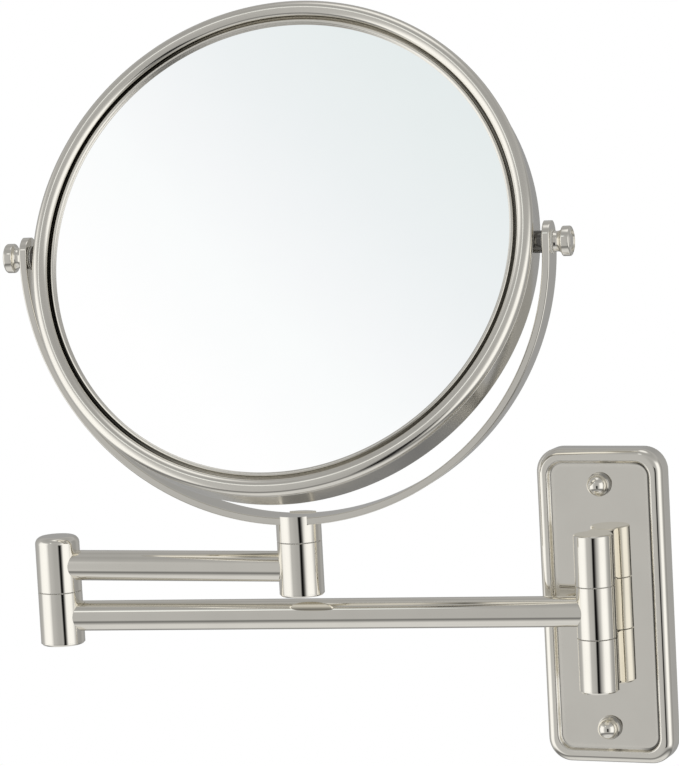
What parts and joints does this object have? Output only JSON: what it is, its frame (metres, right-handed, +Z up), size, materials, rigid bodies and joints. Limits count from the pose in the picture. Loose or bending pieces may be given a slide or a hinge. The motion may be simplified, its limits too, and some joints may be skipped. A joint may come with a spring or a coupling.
{
  "type": "extendable shaving mirror",
  "caption": "Wall-mounted round shaving mirror on a folding double arm: two-sided drum that tilts in a half-round yoke, polished nickel finish.",
  "frame": {"origin": "centre of the wall plate's back, on the wall's surface", "axes": "+Y into the wall, +Z up, +X to the right for someone who faces the wall; the mirror stands off towards -Y"},
  "size_m": [0.2691, 0.1054, 0.324],
  "materials": {
    "nickel": "polished warm nickel plate",
    "band": "polished nickel plate on spun steel sheet",
    "steel": "zinc-plated steel",
    "nylon": "natural nylon",
    "backing": "moulded black plastic",
    "foam": "closed-cell foam",
    "looking_glass": "silvered float glass"
  },
  "bodies": {
    "wall_mount": {"wall_plate": "nickel", "wall_backing": "backing", "cap_nuts": "nickel", "upper_hinge_knuckle": "nickel", "lower_hinge_knuckle": "nickel", "hinge_screws": "steel", "hinge_pin": "steel", "hinge_cap": "nickel"},
    "lower_arm": {"arm_knuckle": "nickel", "hinge_bushes": "nylon", "lower_arm_tube": "nickel", "elbow_socket": "nickel", "elbow_bush": "nylon", "elbow_cap": "nickel"},
    "upper_arm": {"elbow_head": "nickel", "elbow_pin": "steel", "elbow_spring_washer": "steel", "elbow_nut": "steel", "upper_arm_tube": "nickel", "post_socket": "nickel", "post_bush": "nylon", "post_cap": "nickel"},
    "yoke": {"yoke_stem": "nickel", "yoke_strip": "nickel", "post_pin": "steel", "post_spring_washer": "steel", "post_nut": "steel", "yoke_bushes": "nylon", "knob_washers": "nylon"},
    "mirror": {"mirror_band": "band", "front_ring": "nickel", "rear_ring": "nickel", "front_glass": "looking_glass", "rear_glass": "looking_glass", "spacer_ring": "backing", "foam_pad": "foam", "pivot_bosses": "nickel", "boss_washers": "nylon"},
    "left_knob_body": {"left_knob": "nickel", "left_knob_screw": "steel"},
    "right_knob_body": {"right_knob": "nickel", "right_knob_screw": "steel"}
  },
  "joints": [
    {"name": "wall_hinge", "type": "hinge", "parent": "wall_mount", "child": "lower_arm", "pos_m": [0, -0.02, 0], "axis": [0, 0, 1], "range_deg": [-8.3, 171.7]},
    {"name": "elbow", "type": "hinge", "parent": "lower_arm", "child": "upper_arm", "pos_m": [-0.23056, -0.05364, 0], "axis": [0, 0, 1], "continuous": true},
    {"name": "yoke_swivel", "type": "hinge", "parent": "upper_arm", "child": "yoke", "pos_m": [-0.1199, -0.04803, 0.0221], "axis": [0, 0, 1], "continuous": true},
    {"name": "mirror_tilt", "type": "hinge", "parent": "yoke", "child": "mirror", "pos_m": [-0.1199, -0.04803, 0.1553], "axis": [0.9925, 0.1219, 0], "continuous": true},
    {"name": "left_knob_turn", "type": "hinge", "parent": "mirror", "child": "left_knob_body", "pos_m": [-0.23901, -0.06265, 0.1553], "axis": [-0.9925, -0.1219, 0], "range_deg": [0, 360]},
    {"name": "right_knob_turn", "type": "hinge", "parent": "mirror", "child": "right_knob_body", "pos_m": [-0.0008, -0.0334, 0.1553], "axis": [0.9925, 0.1219, 0], "range_deg": [0, 360]}
  ]
}
